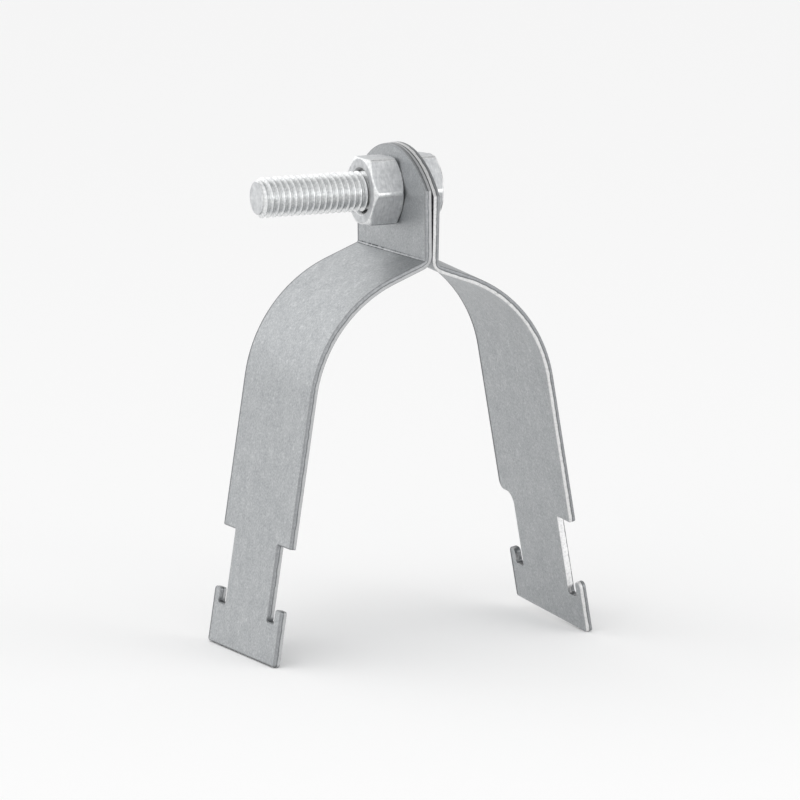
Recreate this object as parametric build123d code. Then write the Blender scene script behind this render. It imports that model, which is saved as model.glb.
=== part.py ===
"""Rigid strut clamp: two hooked sheet straps, held together at their ears by one hex bolt and nut.

Millimetres. Z is up, with the floor at z = 0. X runs along the bolt, its head towards +X, and x = 0
lies midway between the two ears. Y runs along the clamped pipe, and y = 0 is the middle of the
nut-side strap. The clamp stands on its two feet.
"""
from build123d import *
from math import asin, atan2, cos, degrees, hypot, radians, sin, tan
import os

# Sheet, the same on both straps
sheet = 1.4
strap_width = 32.4
ear_gap = 0.45  # air between the two ears

# Ear: the upright tab that takes the bolt
ear_rise = 8.95  # bolt axis to the top of the crown
crown_radius = 21.1
hole_clearance = 0.5  # radial, bolt in its ear hole
crease_drop = 12.25  # bolt axis to the crease, where the ear's and arm's outer faces would meet
fold_radius = 3.0  # round side of the fold
crease_round = 0.4  # its hollow side, which the press brake's blade makes sharp

# Arm, seat and leg, seen edge on
arm_fall = 21.6  # degrees below level
arm_length = 7.45  # crease to the start of the seat
seat_radius = 27.1  # inside, round the pipe
leg_splay = 9.3  # degrees off plumb, foot outwards
leg_length = 30.1  # end of the seat to the shoulders

# Foot: a neck that passes the slot of a strut, and a hook each side that catches its lips
neck_width = 20.8
neck_length = 14.85  # shoulders to the notch floor
hook_width = 2.8
hook_rise = 2.75  # notch floor to the hook's tip
foot_depth = 8.25  # notch floor to the foot's end
tip_round = 0.6
foot_round = 0.6
shoulder_round = 0.35
notch_round = 0.3

# Where the head-side strap is blunter than the other: its far shoulder and both its hooks
blunt_shoulder = 0.31  # round of the far shoulder, over the shoulder's width
blunt_neck = 0.42  # and of the hollow corner beside it
far_hook_width = 2.6
far_tip_round = 1.0
far_tip_drop = 0.4  # hook's tip, below the other strap's
far_notch_drop = 0.5  # notch's floor, below the other strap's
near_hook_width = 2.25
near_tip_round = 1.05
near_tip_drop = 0.6
near_notch_drop = 1.2

# Bolt and nut
thread_diameter = 8.0
thread_clearance = 0.05  # radial, nut on the bolt
bolt_length = 31.8  # under the head
tip_diameter = 6.3
tip_length = 0.9  # chamfer at the bolt's end
across_flats = 13.0
head_height = 5.3
nut_height = 6.5
chamfer_fall = 30.0  # degrees, off the hexagon's end faces
chamfer_circle = 0.98  # diameter of the flat end face, over the flats
bore_chamfer = 0.7  # each end of the nut's bore

# Pose: the head-side strap hangs a little askew on the bolt
swing = 3.95  # degrees about the bolt, foot away from the near side

ear_middle = (ear_gap + sheet) / 2
ear_face = ear_gap / 2 + sheet
half_width = strap_width / 2
shoulder_width = (strap_width - neck_width) / 2
fold_turn = 90 - arm_fall
hollow_radius = fold_radius - sheet
fold_reach = hollow_radius * tan(radians(fold_turn / 2))  # crease to each end of the fold
fold_start = fold_reach - crease_drop
fold_middle = fold_radius - sheet / 2
foot_length = leg_length + neck_length + foot_depth
thread_radius = thread_diameter / 2
UPWARD = (Align.CENTER, Align.CENTER, Align.MIN)


def strap_line(spread=0.0):
    """Middle line of the sheet, edge on: x outwards from the ears' mid-plane, y up from the bolt axis.

    A wider fold turns all that follows it outwards by the spread, in degrees.
    """
    ear = Line((ear_middle, ear_rise), (ear_middle, fold_start))
    fold = JernArc(ear @ 1, ear % 1, fold_middle, fold_turn + spread)
    arm = Line(fold @ 1, fold @ 1 + (fold % 1) * (arm_length - fold_reach))
    seat = JernArc(arm @ 1, arm % 1, seat_radius + sheet / 2, leg_splay - fold_turn)
    return ear, fold, arm, seat


def foot_corner(spread=0.0):
    """Inner corner of the foot's end, edge on, which is the strap's lowest point."""
    seat = strap_line(spread)[-1]
    down = seat % 1
    return seat @ 1 + down * foot_length + Vector(down.Y, -down.X) * (sheet / 2)


def spread_on_floor():
    """Spread, in degrees, that sets the swung strap's near corner on the other strap's floor."""
    reach = (half_width - foot_round) * sin(radians(swing))
    corner = (foot_corner().Y + foot_round + reach) / cos(radians(swing)) - foot_round
    arm = foot_corner() - Vector(ear_middle + fold_middle, fold_start)
    return degrees(asin((corner - fold_start) / hypot(arm.X, arm.Y)) - atan2(arm.Y, arm.X))


def rounded(outline, radius, *spots):
    """The outline with its corners at the given spots rounded."""
    return fillet([outline.vertices().sort_by_distance(spot)[0] for spot in spots], radius)


def leg_side(hook, tip_drop=0.0, notch_drop=0.0):
    """Far half of the leg's outline, laid flat: x across the strap, y up from the foot's end."""
    neck = neck_width / 2
    notch = foot_depth - notch_drop
    tip = foot_depth + hook_rise - tip_drop
    shoulder = foot_depth + neck_length
    return [
        (half_width, foot_length),
        (half_width, shoulder),
        (neck, shoulder),
        (neck, notch),
        (half_width - hook, notch),
        (half_width - hook, tip),
        (half_width, tip),
        (half_width, 0),
    ]


def leg_blank(blunt):
    """Leg laid flat: x across the strap, y up from the foot's end, with its neck and hooks."""
    far = near = leg_side(hook_width)
    far_tip = near_tip = tip_round
    if blunt:
        far, far_tip = leg_side(far_hook_width, far_tip_drop, far_notch_drop), far_tip_round
        near, near_tip = leg_side(near_hook_width, near_tip_drop, near_notch_drop), near_tip_round
    near = [(-x, y) for x, y in near]
    blank = make_face(Polyline(far + near[::-1], close=True))
    far_shoulder = blunt_shoulder * shoulder_width if blunt else shoulder_round
    far_neck = blunt_neck * shoulder_width if blunt else notch_round
    for spots, shoulder, neck, tip in (
        (far, far_shoulder, far_neck, far_tip),
        (near, shoulder_round, notch_round, near_tip),
    ):
        blank = rounded(blank, shoulder, spots[1])
        blank = rounded(blank, neck, spots[2])
        blank = rounded(blank, notch_round, spots[3], spots[4])
        blank = rounded(blank, tip, spots[5], spots[6])
        blank = rounded(blank, foot_round, spots[7])
    return blank


def crease(fold):
    """What is pressed out of the fold's hollow side, so that its two faces meet almost sharp."""
    centre = fold @ 0 + Vector(fold_middle, 0)
    down, onward = fold % 0, fold % 1
    start = centre - Vector(hollow_radius, 0)
    end = centre + Vector(onward.Y, -onward.X) * hollow_radius
    reach = hollow_radius * tan(radians(down.get_angle(onward) / 2))
    corner = start + down * reach
    wedge = make_face(Polyline(centre, start, corner, end, close=True))
    wedge = rounded(wedge, crease_round, corner)
    return extrude(Plane.XZ * wedge, half_width, both=True)


def crown_trim():
    """What is cut off the ear's top corners to leave its round crown."""
    above = Rectangle(2 * strap_width, 2 * crown_radius, align=(Align.CENTER, Align.MIN))
    corners = above - Circle(crown_radius)
    return extrude(Plane.YZ * Pos(0, ear_rise - crown_radius) * corners, 2 * ear_face)


def along_bolt(radius, start, length):
    """Round bar on the bolt axis, from x = start towards +X."""
    return Plane.YZ.offset(start) * Cylinder(radius, length, align=UPWARD)


def strap(spread=0.0, blunt=False):
    """One strap on the +X side, square to the bolt, with the bolt axis through the origin."""
    ear, fold, arm, seat = strap_line(spread)
    ribbon = trace(ear + fold + arm + seat, sheet)
    body = extrude(Plane.XZ * ribbon, half_width, both=True)
    down = seat % 1
    end = seat @ 1 + down * foot_length
    leg = Plane((end.X, 0, end.Y), x_dir=(0, 1, 0), z_dir=(-down.Y, 0, down.X))
    body += extrude(leg * leg_blank(blunt), sheet / 2, both=True)
    body -= crease(fold)
    body -= crown_trim()
    return body - along_bolt(thread_radius + hole_clearance, 0, 2 * ear_face)


def hexagon(height):
    """Hexagon along +X from x = 0, flats up and down, its corners chamfered at both ends."""
    prism = extrude(Plane.YZ * RegularPolygon(across_flats / 2, 6, major_radius=False), height)
    face = across_flats / 2 * chamfer_circle
    rim = across_flats
    fall = (rim - face) * tan(radians(chamfer_fall))
    corners = [(0, 0), (0, face), (fall, rim), (height - fall, rim), (height, face), (height, 0)]
    envelope = revolve(make_face(Polyline(corners, close=True)), Axis.X)
    return prism & envelope


def nut_side_strap():
    """Strap under the nut."""
    return mirror(strap(), Plane.YZ)


def head_side_strap():
    """Strap under the bolt's head, swung about the bolt."""
    return Rot(X=swing) * strap(spread_on_floor(), blunt=True)


def hex_bolt():
    """Bolt with its head bearing on the head-side ear; its thread is a plain shank here."""
    tip = ear_face - bolt_length
    shank = along_bolt(thread_radius, tip + tip_length, bolt_length - tip_length)
    taper = Plane.YZ.offset(tip) * Cone(tip_diameter / 2, thread_radius, tip_length, align=UPWARD)
    return Pos(ear_face, 0, 0) * hexagon(head_height) + shank + taper


def hex_nut():
    """Nut seated on the nut-side ear, its bore countersunk at both ends."""
    bore = thread_radius + thread_clearance
    mouth = bore + bore_chamfer
    body = hexagon(nut_height) - along_bolt(bore, 0, nut_height)
    body -= Plane.YZ * Cone(mouth, bore, bore_chamfer, align=UPWARD)
    body -= Plane.YZ.offset(nut_height - bore_chamfer) * Cone(bore, mouth, bore_chamfer, align=UPWARD)
    return Pos(-ear_face - nut_height, 0, 0) * body


bolt_height = -foot_corner().Y  # bolt axis above the floor
os.makedirs("parts", exist_ok=True)
for piece in (nut_side_strap, head_side_strap, hex_bolt, hex_nut):
    export_step(Pos(0, 0, bolt_height) * piece(), f"parts/{piece.__name__}.step")
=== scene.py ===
"""Rigid strut clamp: two hooked zinc-plated straps, joined at their ears by one bolt and nut.

Every piece is built in metres in the clamp's own frame: Z is up from the floor, X runs along the
bolt with its head towards +X, and Y runs along the clamped pipe, away from the viewer.
"""

from math import asin, atan2, cos, hypot, pi, radians, sin, sqrt, tan

import bmesh
import bpy
from bpy.props import FloatProperty, FloatVectorProperty, IntProperty, PointerProperty
from mathutils import Matrix, Vector


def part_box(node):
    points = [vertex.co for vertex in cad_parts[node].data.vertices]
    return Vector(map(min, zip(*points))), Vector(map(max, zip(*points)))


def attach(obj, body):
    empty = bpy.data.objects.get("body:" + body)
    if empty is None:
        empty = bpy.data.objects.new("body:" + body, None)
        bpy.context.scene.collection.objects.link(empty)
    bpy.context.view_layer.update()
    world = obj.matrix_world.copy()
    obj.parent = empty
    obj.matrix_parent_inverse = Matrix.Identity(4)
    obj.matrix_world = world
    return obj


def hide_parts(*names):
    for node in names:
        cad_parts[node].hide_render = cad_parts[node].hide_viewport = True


bl_info = {
    "name": "Rigid Strut Clamp",
    "version": (1, 0, 0),
    "blender": (4, 5, 0),
    "location": "3D View > Sidebar > Clamp",
    "description": "Two hooked sheet straps with their bolt and nut, in zinc-plated steel",
    "category": "Add Mesh",
}

MM = 0.001

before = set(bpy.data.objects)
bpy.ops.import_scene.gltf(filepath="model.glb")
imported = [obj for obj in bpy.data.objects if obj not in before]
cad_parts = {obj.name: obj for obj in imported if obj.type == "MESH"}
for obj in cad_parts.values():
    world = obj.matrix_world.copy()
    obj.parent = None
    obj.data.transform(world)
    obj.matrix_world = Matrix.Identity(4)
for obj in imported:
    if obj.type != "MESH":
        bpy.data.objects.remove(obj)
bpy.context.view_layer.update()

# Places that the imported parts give
NUT_LOW, NUT_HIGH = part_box("hex_nut")
BOLT_LOW, BOLT_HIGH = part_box("hex_bolt")
STRAP_LOW, STRAP_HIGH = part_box("nut_side_strap")
AXIS_HEIGHT = (NUT_LOW.z + NUT_HIGH.z) / 2
EAR_FACE = -NUT_HIGH.x
UPRIGHT = Matrix.Rotation(radians(90), 4, "Y")

MERGED = 0.0005 * MM  # points closer than this are one
TOUCHING = 0.001 * MM  # reach of a point on a cut, and of the thread's own seams
BEND_STEP = radians(2.5)  # turn between two cuts across a bend, about
SMOOTH_BELOW = radians(35)  # edges that bend less are shaded smooth
SOFTEN_OVER = radians(18)  # edges that bend more are rounded
# An odd count leaves no point at the very top, which keeps the crown inside the solid's box
CROWN_STEPS = 27

# Sheared edges: share of the depth that broke off, and how far the marks reach
TORN_THROUGH, TORN_HALF = 0.85, 0.45
NECK_MARGIN = 1 * MM
NOTCH_INNER, NOTCH_OUTER = 0.4 * MM, 1.8 * MM
STAIN_REACH, STAIN_CUT = 0.6 * MM, 0.9 * MM
FAR_HOOK, HOOK_ROOT = 3 * MM, 1 * MM

# Thread: painted shade in the roots: its height over the thread's depth, and how dark it is
ROOT_HEIGHT, ROOT_DARK = 0.33, 0.35
# Nut: painted shade on the ring that lies by the ear, as a contact shadow, and in the bore's mouth
RING_SHARE, RING_DEPTH, RING_DARK = 0.95, 0.03 * MM, 0.9
MOUTH_RISE, MOUTH_DARK, MOUTH_START = 0.5, 0.45, 0.05
# Head: rim of the dish in its end face over the flats, its depth, and the width of its slope
DISH_SHARE, DISH_DEPTH, DISH_SLOPE = 0.8, 0.12 * MM, 0.5 * MM


def length(millimetres, name, description):
    """A length that the user may change."""
    return FloatProperty(
        name=name, description=description, default=millimetres * MM, min=0, unit="LENGTH", precision=4
    )


def measured(metres, name, description):
    """A length whose default is taken from the frame."""
    return length(metres / MM, name, description)


def angle(turn, name, description):
    """An angle that the user may change, given in degrees."""
    return FloatProperty(name=name, description=description, default=radians(turn), subtype="ANGLE")


def linear(code):
    """Linear colour of an sRGB hex code, opaque."""
    shares = [int(code[i : i + 2], 16) / 255 for i in (1, 3, 5)]
    return *(c / 12.92 if c <= 0.04045 else ((c + 0.055) / 1.055) ** 2.4 for c in shares), 1.0


def colour(code, name, description):
    """A colour that the user may change, given as an sRGB hex code."""
    return FloatVectorProperty(
        name=name, description=description, default=linear(code), subtype="COLOR", size=4, min=0, max=1
    )


class StrapSizes(bpy.types.PropertyGroup):
    """Sizes of both straps."""

    sheet: length(1.4, "Sheet", "Thickness of the sheet")
    width: measured(STRAP_HIGH.y - STRAP_LOW.y, "Width", "Width of a strap")
    ear_rise: measured(STRAP_HIGH.z - AXIS_HEIGHT, "Ear rise", "Bolt axis to the top of the crown")
    crown_radius: length(21.1, "Crown radius", "Round of the ear's top")
    hole_radius: length(4.5, "Hole radius", "Bolt hole in the ear")
    crease_drop: length(12.25, "Crease drop", "Bolt axis to the crease")
    fold_radius: length(3.0, "Fold radius", "Round side of the fold")
    crease_round: length(0.4, "Crease round", "Hollow side of the fold, pressed sharp")
    arm_fall: angle(21.6, "Arm fall", "Slope of the arm below level")
    arm_length: length(7.45, "Arm length", "Crease to the start of the seat")
    seat_radius: length(27.1, "Seat radius", "Inside of the pipe seat")
    leg_splay: angle(9.3, "Leg splay", "Lean of the leg off plumb")
    leg_length: length(30.1, "Leg length", "End of the seat to the shoulders")
    neck_width: length(20.8, "Neck width", "Width between the notches")
    neck_length: length(14.85, "Neck length", "Shoulders to the notch floor")
    hook_width: length(2.8, "Hook width", "Width of a hook")
    hook_rise: length(2.75, "Hook rise", "Notch floor to the hook's tip")
    foot_depth: length(8.25, "Foot depth", "Notch floor to the foot's end")
    tip_round: length(0.6, "Tip round", "Round of a hook's tip")
    foot_round: length(0.6, "Foot round", "Round of the foot's corners")
    shoulder_round: length(0.35, "Shoulder round", "Round of a shoulder")
    notch_round: length(0.3, "Notch round", "Round in the hollow corners")
    blunt_shoulder: length(1.8, "Blunt shoulder", "Round of the head-side strap's far shoulder")
    blunt_neck: length(2.44, "Blunt neck", "Round of the hollow corner beside it")
    far_hook_width: length(2.6, "Far hook width", "Width of the head-side strap's far hook")
    far_tip_round: length(1.0, "Far tip round", "Round of that hook's tip")
    far_tip_drop: length(0.4, "Far tip drop", "That tip, below the other strap's")
    far_notch_drop: length(0.5, "Far notch drop", "Its notch's floor, below the other strap's")
    near_hook_width: length(2.25, "Near hook width", "Width of the head-side strap's near hook")
    near_tip_round: length(1.05, "Near tip round", "Round of that hook's tip")
    near_tip_drop: length(0.6, "Near tip drop", "That tip, below the other strap's")
    near_notch_drop: length(1.2, "Near notch drop", "Its notch's floor, below the other strap's")
    swing: angle(3.95, "Swing", "Turn of the head-side strap about the bolt")
    rolled_edge: length(0.32, "Rolled edge", "Round that the shear leaves on the outer face")
    burr_edge: length(0.14, "Burr edge", "Round on the inner face")


class FastenerSizes(bpy.types.PropertyGroup):
    """Sizes of the bolt and the nut."""

    across_flats: measured(NUT_HIGH.z - NUT_LOW.z, "Across flats", "Flat to flat, nut and head")
    corner_round: length(0.5, "Corner round", "Round of the hexagon's corners")
    chamfer_fall: angle(30, "Chamfer fall", "Slope of the corner chamfer")
    chamfer_share: FloatProperty(
        name="Chamfer share", description="Flat end face, over the flats", default=0.98, min=0.8, max=1
    )
    edge_round: length(0.2, "Edge round", "Round of the chamfer's edges")
    bore_radius: length(4.05, "Bore radius", "Bore of the nut")
    bore_chamfer: length(0.7, "Bore chamfer", "Countersink at each end of the bore")
    thread_radius: length(3.98, "Thread radius", "Crest of the bolt's thread")
    root_radius: length(3.25, "Root radius", "Root of the bolt's thread")
    pitch: length(1.25, "Pitch", "Pitch of the thread")
    tip_radius: length(3.15, "Tip radius", "Flat at the bolt's end")
    tip_length: length(0.9, "Tip length", "Chamfer at the bolt's end")
    turn_steps: IntProperty(
        name="Turn steps", description="Steps in a turn of thread", default=56, min=12
    )


class Finishes(bpy.types.PropertyGroup):
    """Colours of the zinc finishes, of the painted shade and highlights on them, and of the floor."""

    sheet_light: colour("#C3C5C6", "Sheet, light", "Bright specks of the zinc on the sheet")
    sheet_dark: colour("#95989B", "Sheet, dark", "Dull specks of the zinc on the sheet")
    # Partly the blade's marks and partly painted shade: the lines in the fold, and the dark outline
    # along the far edge
    blade_mark_and_painted_shade: colour("#4A4D50", "Crease", "Lines that the blade left in the fold")
    # Partly painted highlight: the white of the edge that broke nearly right through
    torn_white_and_highlight: colour("#F2F2F2", "Torn, white", "Sheared edge that broke nearly right through")
    torn_bright: colour("#DADADA", "Torn, bright", "Broken part of the head-side strap's sheared edge")
    torn_dull: colour("#B4B5B6", "Torn, dull", "Broken part of the nut-side strap's sheared edge")
    smeared: colour("#9C9EA0", "Smeared", "Part of a sheared edge that the blade smeared")
    tear_dark: colour("#5F6163", "Tear", "Where the smeared and broken parts meet, and notch floors")
    plated_light: colour("#E5E6E7", "Plated, light", "Bright plating on the bolt and nut")
    plated_dark: colour("#BEC0C2", "Plated, dark", "Dull plating on the bolt and nut")
    # Partly painted highlight: corners, chamfers and the thread are lighter than the flats
    burnished_and_highlight: colour("#EEEFEF", "Burnished", "Corners and chamfers, where the plating is rubbed bright")
    # Painted shade: the thread's roots, the nut's countersink and the nut's ring by the ear
    painted_shade: colour("#6C6E70", "Groove", "Roots of the thread, where little light comes in")
    floor: colour("#FBFBFB", "Floor", "Floor under the clamp")


class StageSizes(bpy.types.PropertyGroup):
    """Camera, floor and lamps."""

    azimuth: angle(-24.335, "Azimuth", "Camera's turn round the clamp")
    elevation: angle(9.011, "Elevation", "Camera's height above level")
    roll: angle(-0.518, "Roll", "Camera's tilt about its own line of sight")
    distance: length(1499.6, "Distance", "Camera to its aim")
    aim_height: length(47.79, "Aim height", "Height that the camera looks at")
    lens: FloatProperty(name="Lens", description="Focal length on a 36 mm sensor", default=344.05, min=1)
    floor_size: length(24000, "Floor size", "Side of the floor")


def add_node(tree, kind, sockets=None, **fields):
    """Adds a node, sets its fields, and gives its sockets values, or links from nodes or sockets."""
    node = tree.nodes.new(kind)
    for name, value in fields.items():
        setattr(node, name, value)
    for name, value in (sockets or {}).items():
        if isinstance(value, bpy.types.Node):
            value = next(output for output in value.outputs if output.enabled)
        if isinstance(value, bpy.types.NodeSocket):
            tree.links.new(value, node.inputs[name])
        else:
            node.inputs[name].default_value = value
    return node


def new_material(name):
    """A material with an empty node tree, and the coordinates for its textures."""
    material = bpy.data.materials.new(name)
    material.use_nodes = True
    tree = material.node_tree
    tree.nodes.clear()
    return material, tree, add_node(tree, "ShaderNodeTexCoord").outputs["Object"]


def galvanised_sheet(finishes, crease_way, far_side):
    """Cold-rolled steel sheet, electro-galvanised: satin, finely speckled, with scuffs rubbed bright,
    and painted shade in the fold's crease and along the far edge.
    """
    material, tree, place = new_material("galvanised_sheet")
    # Soft clouds, where the coat took lighter or darker
    clouds = add_node(
        tree, "ShaderNodeTexNoise", {"Vector": place, "Scale": 1 / (4 * MM), "Detail": 3.0}
    )
    cloudy = add_node(
        tree, "ShaderNodeMapRange", {"Value": clouds, "From Min": 0.35, "From Max": 0.65, "To Max": 0.14}
    )
    # Speckle: the coat's own grain is about 0.05 mm and is drawn coarser, so that it shows
    speckle = add_node(
        tree,
        "ShaderNodeTexNoise",
        {"Vector": place, "Scale": 1 / (0.4 * MM), "Detail": 3.0, "Roughness": 0.7},
    )
    speckled = add_node(
        tree, "ShaderNodeMapRange", {"Value": speckle, "From Min": 0.3, "From Max": 0.7, "To Max": 0.85}
    )
    # Flecks: scuffs from handling, which rubbed the coat bright
    flecks = add_node(
        tree,
        "ShaderNodeTexNoise",
        {"Vector": place, "Scale": 1 / (1.3 * MM), "Detail": 4.0, "Roughness": 0.7},
    )
    scuffed = add_node(
        tree, "ShaderNodeMapRange", {"Value": flecks, "From Min": 0.56, "From Max": 0.72, "To Max": 0.35}
    )
    grainy = add_node(tree, "ShaderNodeMath", {0: cloudy, 1: speckled}, operation="ADD")
    tone = add_node(tree, "ShaderNodeMath", {0: grainy, 1: scuffed}, operation="ADD")
    coat = add_node(
        tree,
        "ShaderNodeMix",
        {0: tone, 6: finishes.sheet_dark, 7: finishes.sheet_light},
        data_type="RGBA",
    )
    # Two thin dark lines along the fold's hollow side: partly the blade's marks, partly painted shade in
    # the crease. They fade towards the near side.
    flat = add_node(tree, "ShaderNodeUVMap", uv_map="flat")
    split = add_node(tree, "ShaderNodeSeparateXYZ", {"Vector": flat})
    off_crease = add_node(
        tree, "ShaderNodeMath", {0: split.outputs["Y"], 1: crease_way}, operation="ADD"
    )
    apart = add_node(tree, "ShaderNodeMath", {0: off_crease}, operation="ABSOLUTE")
    off_line = add_node(tree, "ShaderNodeMath", {0: apart, 1: 0.3 * MM}, operation="SUBTRACT")
    near_line = add_node(tree, "ShaderNodeMath", {0: off_line}, operation="ABSOLUTE")
    drawn = add_node(
        tree,
        "ShaderNodeMapRange",
        {"Value": near_line, "From Min": 0.08 * MM, "From Max": 0.24 * MM, "To Min": 1.0, "To Max": 0.0},
    )
    dashed = add_node(
        tree,
        "ShaderNodeMapRange",
        {"Value": flecks, "From Min": 0.42, "From Max": 0.58, "To Min": 1.0, "To Max": 0.35},
    )
    outer = add_node(tree, "ShaderNodeAttribute", attribute_name="depth")
    hollow_side = add_node(
        tree, "ShaderNodeMath", {0: outer.outputs["Fac"], 1: 0.5}, operation="GREATER_THAN"
    )
    fading = add_node(
        tree,
        "ShaderNodeMapRange",
        {
            "Value": split.outputs["X"],
            "From Min": -14 * MM,
            "From Max": 2 * MM,
            "To Min": 0.25,
            "To Max": 1.0,
        },
    )
    line = add_node(tree, "ShaderNodeMath", {0: drawn, 1: dashed}, operation="MULTIPLY")
    faded = add_node(tree, "ShaderNodeMath", {0: line, 1: fading}, operation="MULTIPLY")
    blade_lines_and_painted_shade = add_node(tree, "ShaderNodeMath", {0: faded, 1: hollow_side}, operation="MULTIPLY")
    # Painted shade: the last 0.6 mm beside the cut along the far side is darkened into a dark outline
    rim = add_node(
        tree,
        "ShaderNodeMapRange",
        {
            "Value": split.outputs["X"],
            "From Min": far_side - 0.6 * MM,
            "From Max": far_side,
            "To Max": 0.9,
        },
    )
    dark = add_node(tree, "ShaderNodeMath", {0: blade_lines_and_painted_shade, 1: rim}, operation="MAXIMUM")
    base = add_node(tree, "ShaderNodeMix", {0: dark, 6: coat, 7: finishes.blade_mark_and_painted_shade}, data_type="RGBA")
    dull = add_node(
        tree,
        "ShaderNodeMapRange",
        {"Value": flecks, "From Min": 0.3, "From Max": 0.7, "To Min": 0.54, "To Max": 0.44},
    )
    relief = add_node(tree, "ShaderNodeBump", {"Height": speckle, "Distance": 0.012 * MM})
    shader = add_node(
        tree,
        "ShaderNodeBsdfPrincipled",
        {"Base Color": base, "Roughness": dull, "Normal": relief, "Metallic": 1.0},
    )
    add_node(tree, "ShaderNodeOutputMaterial", {"Surface": shader})
    return material


def sheared_edge(name, finishes, torn):
    """Sheared edge of the sheet: smeared smooth by the outer face, broken and bright by the inner. Where
    it broke nearly right through it is white, partly as a painted highlight.
    """
    material, tree, place = new_material(name)
    depth = add_node(tree, "ShaderNodeAttribute", attribute_name="depth").outputs["Fac"]
    reach = add_node(tree, "ShaderNodeAttribute", attribute_name="torn").outputs["Fac"]
    ragged = add_node(
        tree, "ShaderNodeTexNoise", {"Vector": place, "Scale": 1 / (1.4 * MM), "Detail": 2.0}
    )
    shift = add_node(
        tree,
        "ShaderNodeMapRange",
        {"Value": ragged, "From Min": 0.3, "From Max": 0.7, "To Min": -0.05, "To Max": 0.05},
    )
    past = add_node(tree, "ShaderNodeMath", {0: depth, 1: reach}, operation="SUBTRACT")
    line = add_node(tree, "ShaderNodeMath", {0: past, 1: shift}, operation="ADD")
    smeared = add_node(tree, "ShaderNodeMapRange", {"Value": line, "From Min": -0.04, "From Max": 0.06})
    # Fine striations and crumbs: drawn a little coarser than they are
    speckle = add_node(
        tree,
        "ShaderNodeTexNoise",
        {"Vector": place, "Scale": 1 / (0.5 * MM), "Detail": 3.0, "Roughness": 0.7},
    )
    crumbs = add_node(
        tree,
        "ShaderNodeMapRange",
        {"Value": speckle, "From Min": 0.3, "From Max": 0.55, "To Min": 0.4, "To Max": 0},
    )
    # Where the edge broke nearly right through it turns white: bare steel, partly a painted highlight
    right_through = add_node(
        tree, "ShaderNodeMapRange", {"Value": reach, "From Min": 0.5, "From Max": 0.85}
    )
    bare = add_node(
        tree, "ShaderNodeMix", {0: right_through, 6: torn, 7: finishes.torn_white_and_highlight}, data_type="RGBA"
    )
    broken = add_node(tree, "ShaderNodeMix", {0: crumbs, 6: bare, 7: finishes.smeared}, data_type="RGBA")
    stained = add_node(
        tree,
        "ShaderNodeMapRange",
        {"Value": speckle, "From Min": 0.35, "From Max": 0.65, "To Min": 0.35, "To Max": 0},
    )
    blade_side = add_node(
        tree, "ShaderNodeMix", {0: stained, 6: finishes.smeared, 7: finishes.tear_dark}, data_type="RGBA"
    )
    halves = add_node(tree, "ShaderNodeMix", {0: smeared, 6: broken, 7: blade_side}, data_type="RGBA")
    off_tear = add_node(tree, "ShaderNodeMath", {0: line, 1: 0.07}, operation="SUBTRACT")
    near_tear = add_node(tree, "ShaderNodeMath", {0: off_tear}, operation="ABSOLUTE")
    torn_line = add_node(
        tree,
        "ShaderNodeMapRange",
        {"Value": near_tear, "From Min": 0.02, "From Max": 0.12, "To Min": 0.8, "To Max": 0.0},
    )
    # Scorched smudges round the notches, where the punch dragged
    stain = add_node(tree, "ShaderNodeAttribute", attribute_name="stain").outputs["Fac"]
    mottled = add_node(
        tree,
        "ShaderNodeMapRange",
        {"Value": ragged, "From Min": 0.35, "From Max": 0.65, "To Min": 1.0, "To Max": 0.35},
    )
    smudge = add_node(tree, "ShaderNodeMath", {0: stain, 1: mottled}, operation="MULTIPLY")
    dark = add_node(tree, "ShaderNodeMath", {0: torn_line, 1: smudge}, operation="MAXIMUM")
    base = add_node(tree, "ShaderNodeMix", {0: dark, 6: halves, 7: finishes.tear_dark}, data_type="RGBA")
    dull = add_node(tree, "ShaderNodeMapRange", {"Value": smeared, "To Min": 0.55, "To Max": 0.42})
    relief = add_node(tree, "ShaderNodeBump", {"Height": speckle, "Distance": 0.01 * MM})
    shader = add_node(
        tree,
        "ShaderNodeBsdfPrincipled",
        {"Base Color": base, "Roughness": dull, "Normal": relief, "Metallic": 1.0},
    )
    add_node(tree, "ShaderNodeOutputMaterial", {"Surface": shader})
    return material


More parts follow.
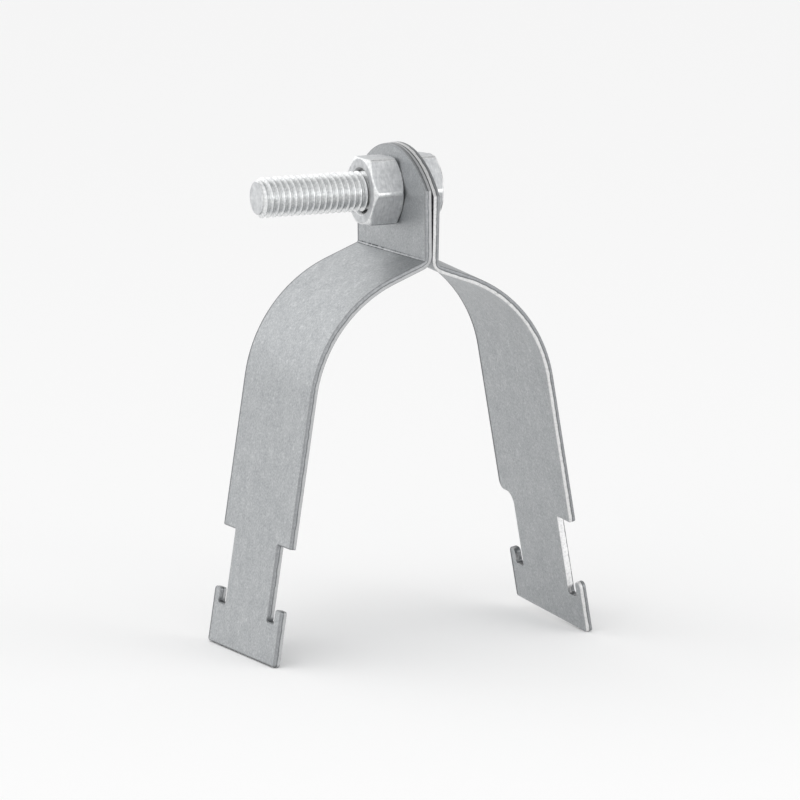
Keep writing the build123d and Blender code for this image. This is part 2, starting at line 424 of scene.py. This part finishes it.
def bright_plating(finishes):
    """Cold-forged steel with bright zinc plating, as on a nut and bolt: brighter than the sheet."""
    material, tree, place = new_material("bright_plating")
    clouds = add_node(
        tree,
        "ShaderNodeTexNoise",
        {"Vector": place, "Scale": 1 / (1.2 * MM), "Detail": 3.0, "Roughness": 0.6},
    )
    cloudy = add_node(
        tree, "ShaderNodeMapRange", {"Value": clouds, "From Min": 0.3, "From Max": 0.7, "To Max": 0.5}
    )
    # The die drew fine lines round the bolt's axis, and they are drawn coarser, so that they show
    drawn_out = add_node(
        tree,
        "ShaderNodeMapping",
        {"Vector": place, "Scale": (1 / (0.3 * MM), 1 / (1.6 * MM), 1 / (1.6 * MM))},
    )
    grain = add_node(tree, "ShaderNodeTexNoise", {"Vector": drawn_out, "Scale": 1.0, "Detail": 3.0})
    grainy = add_node(
        tree, "ShaderNodeMapRange", {"Value": grain, "From Min": 0.3, "From Max": 0.7, "To Max": 0.5}
    )
    tone = add_node(tree, "ShaderNodeMath", {0: cloudy, 1: grainy}, operation="ADD")
    coat = add_node(
        tree,
        "ShaderNodeMix",
        {0: tone, 6: finishes.plated_dark, 7: finishes.plated_light},
        data_type="RGBA",
    )
    # Painted shade in the thread's roots, in the nut's countersink and on the nut's ring by the ear
    painted_shade = add_node(tree, "ShaderNodeAttribute", attribute_name="painted_shade").outputs["Fac"]
    base = add_node(tree, "ShaderNodeMix", {0: painted_shade, 6: coat, 7: finishes.painted_shade}, data_type="RGBA")
    dull = add_node(
        tree,
        "ShaderNodeMapRange",
        {"Value": clouds, "From Min": 0.3, "From Max": 0.7, "To Min": 0.7, "To Max": 0.6},
    )
    relief = add_node(tree, "ShaderNodeBump", {"Height": grain, "Distance": 0.008 * MM})
    shader = add_node(
        tree,
        "ShaderNodeBsdfPrincipled",
        {"Base Color": base, "Roughness": dull, "Normal": relief, "Metallic": 1.0},
    )
    add_node(tree, "ShaderNodeOutputMaterial", {"Surface": shader})
    return material


def burnished_and_highlight_plating(finishes):
    """The same plating on corners, chamfers and the thread: rubbed bright by tools, and lighter than the
    flats as a painted highlight, so that it glints.
    """
    material, tree, place = new_material("burnished_and_highlight_plating")
    scuffs = add_node(
        tree,
        "ShaderNodeTexNoise",
        {"Vector": place, "Scale": 1 / (0.5 * MM), "Detail": 3.0, "Roughness": 0.6},
    )
    rubbed = add_node(
        tree, "ShaderNodeMapRange", {"Value": scuffs, "From Min": 0.3, "From Max": 0.6, "To Min": 0.3}
    )
    coat = add_node(
        tree,
        "ShaderNodeMix",
        {0: rubbed, 6: finishes.plated_dark, 7: finishes.burnished_and_highlight},
        data_type="RGBA",
    )
    # The same painted shade as on the bright plating
    painted_shade = add_node(tree, "ShaderNodeAttribute", attribute_name="painted_shade").outputs["Fac"]
    base = add_node(tree, "ShaderNodeMix", {0: painted_shade, 6: coat, 7: finishes.painted_shade}, data_type="RGBA")
    dull = add_node(
        tree,
        "ShaderNodeMapRange",
        {"Value": scuffs, "From Min": 0.3, "From Max": 0.7, "To Min": 0.42, "To Max": 0.32},
    )
    relief = add_node(tree, "ShaderNodeBump", {"Height": scuffs, "Distance": 0.012 * MM})
    shader = add_node(
        tree,
        "ShaderNodeBsdfPrincipled",
        {"Base Color": base, "Roughness": dull, "Normal": relief, "Metallic": 1.0},
    )
    add_node(tree, "ShaderNodeOutputMaterial", {"Surface": shader})
    return material


def finished_piece(bm, name, body, materials):
    """Turns the faces outwards and makes the object, which rides on its body in place of its node."""
    bmesh.ops.remove_doubles(bm, verts=bm.verts[:], dist=MERGED)
    bmesh.ops.recalc_face_normals(bm, faces=bm.faces[:])
    mesh = bpy.data.meshes.new(name)
    bm.to_mesh(mesh)
    bm.free()
    mesh.shade_smooth()
    mesh.set_sharp_from_angle(angle=SMOOTH_BELOW)
    for material in materials:
        mesh.materials.append(material)
    piece = bpy.data.objects.new(name, mesh)
    bpy.context.scene.collection.objects.link(piece)
    weighted = piece.modifiers.new("weighted_normals", "WEIGHTED_NORMAL")
    weighted.keep_sharp = True
    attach(piece, body)
    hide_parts(name.replace("_finished", ""))
    return piece


def of_kind(geometry, kind):
    """The vertices, edges or faces among what an operator returned."""
    return [part for part in geometry if isinstance(part, kind)]


def strap_course(sizes, spread=0.0):
    """Stretches of the strap's middle line from the crown to the shoulders' plane: length and turn."""
    fold_turn = pi / 2 - sizes.arm_fall
    fold_reach = (sizes.fold_radius - sizes.sheet) * tan(fold_turn / 2)
    fold_middle = sizes.fold_radius - sizes.sheet / 2
    seat_turn = fold_turn - sizes.leg_splay
    foot_length = sizes.leg_length + sizes.neck_length + sizes.foot_depth
    return [
        (sizes.ear_rise + sizes.crease_drop - fold_reach, 0.0),
        (fold_middle * (fold_turn + spread), fold_turn + spread),
        (sizes.arm_length - fold_reach, 0.0),
        ((sizes.seat_radius + sizes.sheet / 2) * seat_turn, -seat_turn),
        (foot_length, 0.0),
    ]


def along(course, start, way):
    """Point and heading, edge on, at a way down the course from its start."""
    point, heading = Vector(start), -pi / 2
    for stretch, turn in course:
        step = min(way, stretch)
        half = turn * step / stretch / 2
        chord = step * (sin(half) / half if half else 1)
        point = point + chord * Vector((cos(heading + half), sin(heading + half)))
        heading += 2 * half
        way -= step
    return point, heading


def crown_start(sizes):
    """Top of the strap's middle line, edge on, measured from the bolt axis."""
    return EAR_FACE - sizes.sheet / 2, sizes.ear_rise


def foot_corner(sizes):
    """Inner corner of the foot's end of the strap that hangs straight, edge on."""
    course = strap_course(sizes)
    point, heading = along(course, crown_start(sizes), sum(stretch for stretch, _ in course))
    return point + sizes.sheet / 2 * Vector((sin(heading), -cos(heading)))


def spread_on_floor(sizes):
    """Wider fold that sets the swung strap's near corner on the other strap's floor."""
    corner = foot_corner(sizes)
    rounding = sizes.foot_round
    reach = (sizes.width / 2 - rounding) * sin(sizes.swing)
    lowest = (corner.y + rounding + reach) / cos(sizes.swing) - rounding
    ear, _ = strap_course(sizes)[0]
    fold_start = sizes.ear_rise - ear
    centre_x = EAR_FACE + sizes.fold_radius - sizes.sheet
    arm = corner - Vector((centre_x, fold_start))
    return asin((lowest - fold_start) / hypot(arm.x, arm.y)) - atan2(arm.y, arm.x)


def leg_side(sizes, hook, tip_drop=0.0, notch_drop=0.0):
    """Far half of the leg's outline: across the strap, and up from the foot's end."""
    half, neck = sizes.width / 2, sizes.neck_width / 2
    notch = sizes.foot_depth - notch_drop
    tip = sizes.foot_depth + sizes.hook_rise - tip_drop
    shoulder = sizes.foot_depth + sizes.neck_length
    return [
        (half, shoulder),
        (neck, shoulder),
        (neck, notch),
        (half - hook, notch),
        (half - hook, tip),
        (half, tip),
        (half, 0),
    ]


def crown_arc(sizes):
    """Points round the ear's crown, from the far side to the near: across, and down from the top."""
    widest = asin(sizes.width / 2 / sizes.crown_radius)
    turns = [widest * (1 - 2 * i / CROWN_STEPS) for i in range(CROWN_STEPS + 1)]
    return [(sizes.crown_radius * sin(a), sizes.crown_radius * (1 - cos(a))) for a in turns]


def flat_blank(sizes, total, blunt):
    """Sheet blank laid flat, as one face: x across, y down from the crown as a negative."""
    far = near = leg_side(sizes, sizes.hook_width)
    far_rounds = near_rounds = (sizes.shoulder_round, sizes.notch_round, sizes.tip_round)
    if blunt:
        far = leg_side(sizes, sizes.far_hook_width, sizes.far_tip_drop, sizes.far_notch_drop)
        far_rounds = (sizes.blunt_shoulder, sizes.blunt_neck, sizes.far_tip_round)
        near = leg_side(sizes, sizes.near_hook_width, sizes.near_tip_drop, sizes.near_notch_drop)
        near_rounds = (sizes.shoulder_round, sizes.notch_round, sizes.near_tip_round)
    bm = bmesh.new()
    crown = [bm.verts.new((x, -down, 0)) for x, down in crown_arc(sizes)]
    near_side = [bm.verts.new((-x, up - total, 0)) for x, up in near]
    far_side = [bm.verts.new((x, up - total, 0)) for x, up in far]
    bm.faces.new(crown + near_side + far_side[::-1])
    for side, (shoulder, neck, tip) in ((far_side, far_rounds), (near_side, near_rounds)):
        rounds = [
            (side[:1], shoulder),
            (side[1:2], neck),
            (side[2:4], sizes.notch_round),
            (side[4:6], tip),
            (side[6:], sizes.foot_round),
        ]
        for corners, radius in rounds:
            bmesh.ops.bevel(
                bm, geom=corners, offset=radius, segments=8, profile=0.5, affect="VERTICES", material=-1
            )
    return bm


def cut_across(bm, way):
    """Cuts the flat blank across, at a way down from the crown."""
    geometry = bm.verts[:] + bm.edges[:] + bm.faces[:]
    bmesh.ops.bisect_plane(bm, geom=geometry, plane_co=(0, -way, 0), plane_no=(0, 1, 0))


def notch_floors(sizes, blunt):
    """Heights of the notches' floors above the foot's end."""
    drops = {sizes.far_notch_drop, sizes.near_notch_drop} if blunt else {0.0}
    return [sizes.foot_depth - drop for drop in sorted(drops)]


def score_bends(bm, course):
    """Cuts the flat blank across wherever it will bend, about once each step of turn."""
    done = 0.0
    for stretch, turn in course[:-1]:
        cuts = max(1, round(abs(turn) / BEND_STEP))
        for i in range(1, cuts + 1):
            cut_across(bm, done + stretch * i / cuts)
        done += stretch


def drill_ear(bm, sizes):
    """Opens the bolt hole in the ear's face."""
    ear = max(bm.faces, key=lambda face: face.calc_center_median().y)
    border = ear.edges[:]
    bmesh.ops.delete(bm, geom=[ear], context="FACES_ONLY")
    place = Matrix.Translation((0, -sizes.ear_rise, 0))
    hole = bmesh.ops.create_circle(bm, segments=48, radius=sizes.hole_radius, matrix=place)["verts"]
    rim = {edge for vert in hole for edge in vert.link_edges}
    bmesh.ops.triangle_fill(bm, edges=border + list(rim), use_beauty=True, normal=(0, 0, 1))


def thicken(bm, sizes):
    """Gives the flat blank its thickness, about its middle plane."""
    bmesh.ops.translate(bm, verts=bm.verts[:], vec=(0, 0, -sizes.sheet / 2))
    made = bmesh.ops.extrude_face_region(bm, geom=bm.faces[:], use_keep_orig=True)["geom"]
    bmesh.ops.translate(bm, verts=of_kind(made, bmesh.types.BMVert), vec=(0, 0, sizes.sheet))
    bmesh.ops.recalc_face_normals(bm, faces=bm.faces[:])


def soften_rims(bm, sizes):
    """Rounds the sheared rims: wider on the outer face, where the shear pulls the sheet down."""
    for level, offset, segments in ((1, sizes.rolled_edge, 5), (-1, sizes.burr_edge, 3)):
        rims = [
            edge
            for edge in bm.edges
            if all(level * vert.co.z > sizes.sheet * 0.49 for vert in edge.verts)
            and any(abs(face.normal.z) < 0.5 for face in edge.link_faces)
        ]
        bmesh.ops.bevel(
            bm, geom=rims, offset=offset, segments=segments, profile=0.5, affect="EDGES", material=-1
        )


def mark_flat(bm, sizes, total, blunt):
    """Keeps where each point lay in the blank, marks torn and stained parts, and tells sheared faces."""
    depth = bm.verts.layers.float.new("depth")
    torn = bm.verts.layers.float.new("torn")
    stain = bm.verts.layers.float.new("stain")
    flat = bm.loops.layers.uv.new("flat")
    neck_low, neck_high = sizes.foot_depth, sizes.foot_depth + sizes.neck_length
    floors = notch_floors(sizes, blunt)
    for vert in bm.verts:
        vert[depth] = vert.co.z / sizes.sheet + 0.5
        up = total + vert.co.y
        on_neck = neck_low < up < neck_high and abs(vert.co.x) < sizes.neck_width / 2 + NECK_MARGIN
        # The blunt strap's neck is torn nearly right through, and that puts a white painted highlight on
        # its edge
        vert[torn] = TORN_THROUGH if blunt and on_neck else TORN_HALF
        notch_start, notch_end = sizes.neck_width / 2 - NOTCH_INNER, sizes.width / 2 - NOTCH_OUTER
        in_notch = notch_start < abs(vert.co.x) < notch_end
        on_floor = any(abs(up - floor) < STAIN_REACH for floor in floors)
        beside_hook = blunt and vert.co.x > sizes.width / 2 - FAR_HOOK
        hook_low, hook_high = sizes.foot_depth - HOOK_ROOT, sizes.foot_depth + sizes.hook_rise
        hooked = beside_hook and hook_low < up < hook_high
        vert[stain] = 1.0 if in_notch and on_floor or hooked else 0.0
    for face in bm.faces:
        face.normal_update()
        face.material_index = 0 if abs(face.normal.z) > 0.999 else 1
        for loop in face.loops:
            loop[flat].uv = loop.vert.co.xy


def pressed(sizes, course, way, depth):
    """Depth of a point once the blade has pressed the fold's hollow side nearly sharp."""
    ear, _ = course[0]
    stretch, turn = course[1]
    off_middle = abs((way - ear) / stretch - 0.5) * turn
    if off_middle > turn / 2 or depth < 0:
        return depth
    hollow, rounding = sizes.fold_radius - sizes.sheet, sizes.crease_round
    centre = (hollow - rounding) / cos(turn / 2)
    if off_middle < atan2(rounding * sin(turn / 2), centre + rounding * cos(turn / 2)):
        reach = centre * cos(off_middle) + sqrt(rounding**2 - (centre * sin(off_middle)) ** 2)
    else:
        reach = hollow / cos(turn / 2 - off_middle)
    return depth * (1 - (reach - hollow) / (sizes.sheet / 2))


def bend(bm, sizes, course):
    """Folds and rolls the flat strap along its course, on the +X side of the bolt axis."""
    for vert in bm.verts:
        across, way = vert.co.x, max(-vert.co.y, 0)
        depth = pressed(sizes, course, way, vert.co.z)
        point, heading = along(course, crown_start(sizes), way)
        vert.co = (point.x - depth * sin(heading), across, point.y + depth * cos(heading))


def strap_mesh(sizes, spread, blunt):
    """One strap on the +X side, square to the bolt, with the bolt axis through the origin."""
    course = strap_course(sizes, spread)
    total = sum(stretch for stretch, _ in course)
    bm = flat_blank(sizes, total, blunt)
    score_bends(bm, course)
    for floor in notch_floors(sizes, blunt):
        cut_across(bm, total - floor - STAIN_CUT)
    drill_ear(bm, sizes)
    thicken(bm, sizes)
    soften_rims(bm, sizes)
    mark_flat(bm, sizes, total, blunt)
    bend(bm, sizes, course)
    return bm


def ring_round(bm, ring, reach):
    """Extrudes a ring of edges, puts each new point where reach says, and returns the new ring."""
    made = bmesh.ops.extrude_edge_only(bm, edges=ring)["geom"]
    for vert in of_kind(made, bmesh.types.BMVert):
        vert.co = reach(vert.co)
    return of_kind(made, bmesh.types.BMEdge)


def to_circle(x, radius):
    """Reach that puts a point on a circle about the bolt axis."""
    return lambda point: Vector((x, *(Vector((point.y, point.z)).normalized() * radius)))


def hexagon_body(sizes, low, high):
    """Hexagon's sides and corner chamfers, open at both ends, and its end rings at low and high x."""
    bm = bmesh.new()
    corner_radius = sizes.across_flats / sqrt(3)
    bmesh.ops.create_circle(bm, cap_ends=True, segments=6, radius=corner_radius, matrix=UPRIGHT)
    bmesh.ops.bevel(
        bm,
        geom=bm.verts[:],
        offset=sizes.corner_round,
        segments=6,
        profile=0.5,
        affect="VERTICES",
        material=-1,
    )
    bmesh.ops.delete(bm, geom=bm.faces[:], context="FACES_ONLY")
    flats = [edge for edge in bm.edges if edge.calc_length() > sizes.across_flats / 4]
    bmesh.ops.subdivide_edges(bm, edges=flats, cuts=15)
    face_radius = sizes.across_flats / 2 * sizes.chamfer_share

    def chamfered(x, inwards):
        def reach(point):
            fall = (hypot(point.y, point.z) - face_radius) * tan(sizes.chamfer_fall)
            return Vector((x + inwards * fall, point.y, point.z))

        return reach

    for vert in bm.verts:
        vert.co = chamfered(low, 1)(vert.co)
    first = bm.edges[:]
    last = ring_round(bm, first, chamfered(high, -1))
    high_end = ring_round(bm, last, to_circle(high, face_radius))
    low_end = ring_round(bm, first, to_circle(low, face_radius))
    return bm, low_end, high_end


def soften_edges(bm, sizes):
    """Rounds every edge whose faces meet at a clear angle."""
    bmesh.ops.remove_doubles(bm, verts=bm.verts[:], dist=MERGED)
    bmesh.ops.recalc_face_normals(bm, faces=bm.faces[:])
    sharp = [e for e in bm.edges if len(e.link_faces) == 2 and e.calc_face_angle() > SOFTEN_OVER]
    bmesh.ops.bevel(
        bm, geom=sharp, offset=sizes.edge_round, segments=3, profile=0.5, affect="EDGES", material=-1
    )


def burnish_and_highlight(bm):
    """Puts every face that is neither a flat nor an end face in the second material slot."""
    for face in bm.faces:
        face.normal_update()
        normal = face.normal
        turn = atan2(normal.z, normal.y) - pi / 6
        off_flat = abs(turn - round(turn / (pi / 3)) * pi / 3)
        end = abs(normal.x) > 0.98
        flat = abs(normal.x) < 0.05 and off_flat < radians(3)
        face.material_index = 0 if end or flat else 1


def nut_mesh(sizes):
    """Chamfered hexagon nut on the bolt axis through the origin, its bore countersunk at both ends."""
    low, high = NUT_LOW.x, NUT_HIGH.x
    bm, _, high_end = hexagon_body(sizes, low, high)
    mouth = sizes.bore_radius + sizes.bore_chamfer
    ring = ring_round(bm, high_end, to_circle(high, mouth))
    ring = ring_round(bm, ring, to_circle(high - sizes.bore_chamfer, sizes.bore_radius))
    ring = ring_round(bm, ring, to_circle(low + sizes.bore_chamfer, sizes.bore_radius))
    ring = ring_round(bm, ring, to_circle(low, mouth))
    ring_round(bm, ring, to_circle(low, sizes.across_flats / 2 * sizes.chamfer_share))
    soften_edges(bm, sizes)
    burnish_and_highlight(bm)
    # Painted shade: the countersink darkens towards the bore, and the ring that lies by the ear is dark,
    # as a contact shadow.
    painted_shade = bm.verts.layers.float.new("painted_shade")
    for vert in bm.verts:
        radius = hypot(vert.co.y, vert.co.z)
        inside = (mouth - radius) / sizes.bore_chamfer
        by_ear = radius > sizes.across_flats / 2 * RING_SHARE and vert.co.x > high - RING_DEPTH
        mouth_dark = MOUTH_DARK if inside > MOUTH_START else 0.0
        in_bore = min(max(inside, 0.0), 1.0) * MOUTH_RISE + mouth_dark
        vert[painted_shade] = RING_DARK if by_ear else in_bore
    return bm


def head_mesh(sizes):
    """Chamfered hexagon head of the bolt, closed, with a shallow dish in its end face."""
    low, high = EAR_FACE, BOLT_HIGH.x
    bm, low_end, high_end = hexagon_body(sizes, low, high)
    rim = sizes.across_flats / 2 * DISH_SHARE
    ring = ring_round(bm, high_end, to_circle(high, rim))
    ring = ring_round(bm, ring, to_circle(high - DISH_DEPTH, rim - DISH_SLOPE))
    bmesh.ops.contextual_create(bm, geom=ring)
    bmesh.ops.contextual_create(bm, geom=low_end)
    soften_edges(bm, sizes)
    burnish_and_highlight(bm)
    return bm


def thread_mesh(sizes):
    """Bolt's right-hand thread from its chamfered tip to the head, closed at both ends."""
    tip, end = BOLT_LOW.x, EAR_FACE
    crest, root = sizes.thread_radius, sizes.root_radius
    # One pitch of the profile: share of the pitch, and share of the thread's depth
    rise = [(0, 0), (0.09, 0.02), (0.14, 0.09), (0.22, 0.33), (0.42, 0.92), (0.46, 1)]
    profile = rise + [(1 - x, up) for x, up in reversed(rise)]
    turns = int((end - tip) / sizes.pitch) + 3
    steps = sizes.turn_steps
    bm = bmesh.new()
    start = tip - 1.5 * sizes.pitch
    places = [(start + sizes.pitch * x, root + (crest - root) * up, 0) for x, up in profile]
    points = [bm.verts.new(place) for place in places]
    edges = [bm.edges.new(pair) for pair in zip(points, points[1:])]
    bmesh.ops.spin(
        bm,
        geom=points + edges,
        cent=(0, 0, 0),
        axis=(1, 0, 0),
        dvec=(sizes.pitch / steps, 0, 0),
        angle=2 * pi * turns,
        steps=steps * turns,
        use_merge=False,
    )
    bmesh.ops.remove_doubles(bm, verts=bm.verts[:], dist=TOUCHING)
    for x, outwards in ((tip, -1), (end, 1)):
        geometry = bm.verts[:] + bm.edges[:] + bm.faces[:]
        bmesh.ops.bisect_plane(
            bm, geom=geometry, plane_co=(x, 0, 0), plane_no=(outwards, 0, 0), clear_outer=True
        )
    slope = (crest - sizes.tip_radius) / sizes.tip_length
    for vert in bm.verts:
        radius = hypot(vert.co.y, vert.co.z)
        cone = sizes.tip_radius + slope * (vert.co.x - tip)
        if radius > cone:
            vert.co = to_circle(vert.co.x, cone)(vert.co)
    for x in (tip, end):
        border = [edge for edge in bm.edges if edge.is_boundary]
        loop = [e for e in border if all(abs(v.co.x - x) < TOUCHING for v in e.verts)]
        bmesh.ops.contextual_create(bm, geom=loop)
    # Painted shade in the thread's roots, none on the tip's end face
    painted_shade = bm.verts.layers.float.new("painted_shade")
    for vert in bm.verts:
        up = (hypot(vert.co.y, vert.co.z) - root) / (crest - root)
        on_end = vert.co.x < tip + 0.01 * MM
        vert[painted_shade] = 0.0 if on_end else max(0.0, 1 - up / ROOT_HEIGHT) * ROOT_DARK
    for face in bm.faces:
        face.material_index = 0 if len(face.verts) > 8 else 1
    return bm


def join(bm, other):
    """Adds another bmesh's geometry and frees it."""
    mesh = bpy.data.meshes.new("joined")
    other.to_mesh(mesh)
    other.free()
    bm.from_mesh(mesh)
    bpy.data.meshes.remove(mesh)


class CLAMP_OT_straps(bpy.types.Operator):
    """Make both straps: blanked flat, folded at the crease and rolled to the pipe"""

    bl_idname = "clamp.straps"
    bl_label = "Straps"

    def execute(self, context):
        sizes, finishes = context.scene.clamp_straps, context.scene.clamp_finishes
        (ear, _), (fold, _) = strap_course(sizes)[:2]
        sheet = galvanised_sheet(finishes, ear + fold / 2, sizes.width / 2 - sizes.rolled_edge)
        lift = Matrix.Translation((0, 0, AXIS_HEIGHT))
        mirrored = Matrix.Scale(-1, 4, (1, 0, 0))
        swung = Matrix.Rotation(sizes.swing, 4, "X")
        dull = sheared_edge("sheared_steel_dull", finishes, finishes.torn_dull)
        bright = sheared_edge("sheared_steel_bright", finishes, finishes.torn_bright)
        for name, body, spread, blunt, turn, edge in (
            ("nut_side_strap", "nut_side", 0.0, False, mirrored, dull),
            ("head_side_strap", "head_side", spread_on_floor(sizes), True, swung, bright),
        ):
            bm = strap_mesh(sizes, spread, blunt)
            bmesh.ops.transform(bm, matrix=lift @ turn, verts=bm.verts[:])
            finished_piece(bm, name + "_finished", body, [sheet, edge])
        return {"FINISHED"}


class CLAMP_OT_bolt(bpy.types.Operator):
    """Make the bolt: its threaded shank and its chamfered hexagon head"""

    bl_idname = "clamp.bolt"
    bl_label = "Bolt"

    def execute(self, context):
        sizes = context.scene.clamp_fasteners
        bm = thread_mesh(sizes)
        join(bm, head_mesh(sizes))
        bmesh.ops.translate(bm, verts=bm.verts[:], vec=(0, 0, AXIS_HEIGHT))
        finishes = context.scene.clamp_finishes
        platings = [bright_plating(finishes), burnished_and_highlight_plating(finishes)]
        finished_piece(bm, "hex_bolt_finished", "bolt", platings)
        return {"FINISHED"}


class CLAMP_OT_nut(bpy.types.Operator):
    """Make the nut"""

    bl_idname = "clamp.nut"
    bl_label = "Nut"

    def execute(self, context):
        sizes = context.scene.clamp_fasteners
        bm = nut_mesh(sizes)
        bmesh.ops.translate(bm, verts=bm.verts[:], vec=(0, 0, AXIS_HEIGHT))
        finishes = context.scene.clamp_finishes
        platings = [bright_plating(finishes), burnished_and_highlight_plating(finishes)]
        finished_piece(bm, "hex_nut_finished", "nut", platings)
        return {"FINISHED"}


def lay_floor(stage, finishes):
    """Plain pale floor, matt, which takes the clamp's shadow."""
    bm = bmesh.new()
    bmesh.ops.create_grid(bm, x_segments=1, y_segments=1, size=stage.floor_size / 2)
    mesh = bpy.data.meshes.new("floor")
    bm.to_mesh(mesh)
    bm.free()
    material, tree, _ = new_material("pale_floor")
    matt = {"Base Color": finishes.floor, "Roughness": 1.0, "Specular IOR Level": 0.0}
    shader = add_node(tree, "ShaderNodeBsdfPrincipled", matt)
    add_node(tree, "ShaderNodeOutputMaterial", {"Surface": shader})
    mesh.materials.append(material)
    floor = bpy.data.objects.new("floor", mesh)
    bpy.context.scene.collection.objects.link(floor)


def light_room():
    """White room like a light tent: bright walls, brightest behind the clamp, and a dimmer roof."""
    world = bpy.data.worlds.new("room")
    bpy.context.scene.world = world
    world.use_nodes = True
    tree = world.node_tree
    tree.nodes.clear()
    way = add_node(tree, "ShaderNodeTexCoord").outputs["Generated"]
    split = add_node(tree, "ShaderNodeSeparateXYZ", {"Vector": way})
    wall = add_node(
        tree,
        "ShaderNodeMapRange",
        {"Value": split.outputs["Z"], "From Min": 0.35, "From Max": 0.9, "To Min": 1.55, "To Max": 1.02},
    )
    behind = add_node(
        tree, "ShaderNodeMapRange", {"Value": split.outputs["Y"], "From Min": 0.3, "From Max": 0.9}
    )
    raised = add_node(
        tree,
        "ShaderNodeMapRange",
        {"Value": split.outputs["Z"], "From Min": 0.1, "From Max": 0.35, "To Max": 0.4},
    )
    glow = add_node(tree, "ShaderNodeMath", {0: behind, 1: raised}, operation="MULTIPLY")
    lit = add_node(tree, "ShaderNodeMath", {0: wall, 1: glow}, operation="ADD")
    # The right half of the roof and of the back is dim, and the tops of the bolt and nut mirror it
    to_right = add_node(
        tree, "ShaderNodeMapRange", {"Value": split.outputs["X"], "From Min": 0.15, "From Max": 0.4}
    )
    rearwards = add_node(
        tree, "ShaderNodeMath", {0: split.outputs["Y"], 1: split.outputs["Z"]}, operation="ADD"
    )
    over_back = add_node(
        tree,
        "ShaderNodeMapRange",
        {"Value": rearwards, "From Min": 0.2, "From Max": 0.7, "To Max": 0.45},
    )
    dimmed = add_node(tree, "ShaderNodeMath", {0: to_right, 1: over_back}, operation="MULTIPLY")
    share = add_node(tree, "ShaderNodeMath", {0: 1.0, 1: dimmed}, operation="SUBTRACT")
    level = add_node(tree, "ShaderNodeMath", {0: lit, 1: share}, operation="MULTIPLY")
    room = add_node(tree, "ShaderNodeBackground", {"Strength": level})
    add_node(tree, "ShaderNodeOutputWorld", {"Surface": room})


def hang_lamp(name, place, size, watts):
    """Soft square lamp at a place, facing the clamp's middle."""
    aim = Vector((0, 0, 0.05))
    data = bpy.data.lights.new(name, "AREA")
    data.size, data.energy = size, watts
    lamp = bpy.data.objects.new(name, data)
    lamp.location = place
    lamp.rotation_euler = (Vector(place) - aim).to_track_quat("Z", "Y").to_euler()
    bpy.context.scene.collection.objects.link(lamp)


def set_camera(stage):
    """Camera at the photograph's viewing angle."""
    turn, rise = stage.azimuth, stage.elevation
    back = Vector((sin(turn) * cos(rise), -cos(turn) * cos(rise), sin(rise)))
    right = Vector((cos(turn), sin(turn), 0))
    up = back.cross(right)
    level = Matrix((right, up, back)).transposed().to_4x4()
    data = bpy.data.cameras.new("camera")
    data.lens = stage.lens
    data.clip_end = 100
    camera = bpy.data.objects.new("camera", data)
    aim = Vector((0, 0, stage.aim_height))
    place = Matrix.Translation(aim + stage.distance * back)
    camera.matrix_world = place @ level @ Matrix.Rotation(stage.roll, 4, "Z")
    bpy.context.scene.collection.objects.link(camera)
    bpy.context.scene.camera = camera


class CLAMP_OT_stage(bpy.types.Operator):
    """Make the floor, the light and the camera"""

    bl_idname = "clamp.stage"
    bl_label = "Stage"

    def execute(self, context):
        stage = context.scene.clamp_stage
        context.scene.view_settings.view_transform = "Standard"
        lay_floor(stage, context.scene.clamp_finishes)
        light_room()
        hang_lamp("front_lamp", place=(0.49, -1.09, 0.2), size=0.3, watts=1.15)
        hang_lamp("top_lamp", place=(-0.455, -0.585, 1.07), size=0.5, watts=1.1)
        set_camera(stage)
        return {"FINISHED"}


class CLAMP_PT_sidebar(bpy.types.Panel):
    """Lists the clamp's pieces, sizes and colours"""

    bl_idname = "CLAMP_PT_sidebar"
    bl_label = "Strut Clamp"
    bl_space_type = "VIEW_3D"
    bl_region_type = "UI"
    bl_category = "Clamp"

    def draw(self, context):
        for operator in (CLAMP_OT_straps, CLAMP_OT_bolt, CLAMP_OT_nut, CLAMP_OT_stage):
            self.layout.operator(operator.bl_idname)
        for group in SETTINGS:
            values = getattr(context.scene, group)
            box = self.layout.box()
            for name in values.__annotations__:
                box.prop(values, name)


SETTINGS = {
    "clamp_straps": StrapSizes,
    "clamp_fasteners": FastenerSizes,
    "clamp_finishes": Finishes,
    "clamp_stage": StageSizes,
}
CLASSES = (
    *SETTINGS.values(),
    CLAMP_OT_straps,
    CLAMP_OT_bolt,
    CLAMP_OT_nut,
    CLAMP_OT_stage,
    CLAMP_PT_sidebar,
)


def register():
    for cls in CLASSES:
        bpy.utils.register_class(cls)
    for name, group in SETTINGS.items():
        setattr(bpy.types.Scene, name, PointerProperty(type=group))


def unregister():
    for name in SETTINGS:
        delattr(bpy.types.Scene, name)
    for cls in reversed(CLASSES):
        bpy.utils.unregister_class(cls)


def main():
    register()
    bpy.ops.clamp.straps()
    bpy.ops.clamp.bolt()
    bpy.ops.clamp.nut()
    bpy.ops.clamp.stage()
    bpy.context.view_layer.update()


if __name__ == "__main__":
    main()
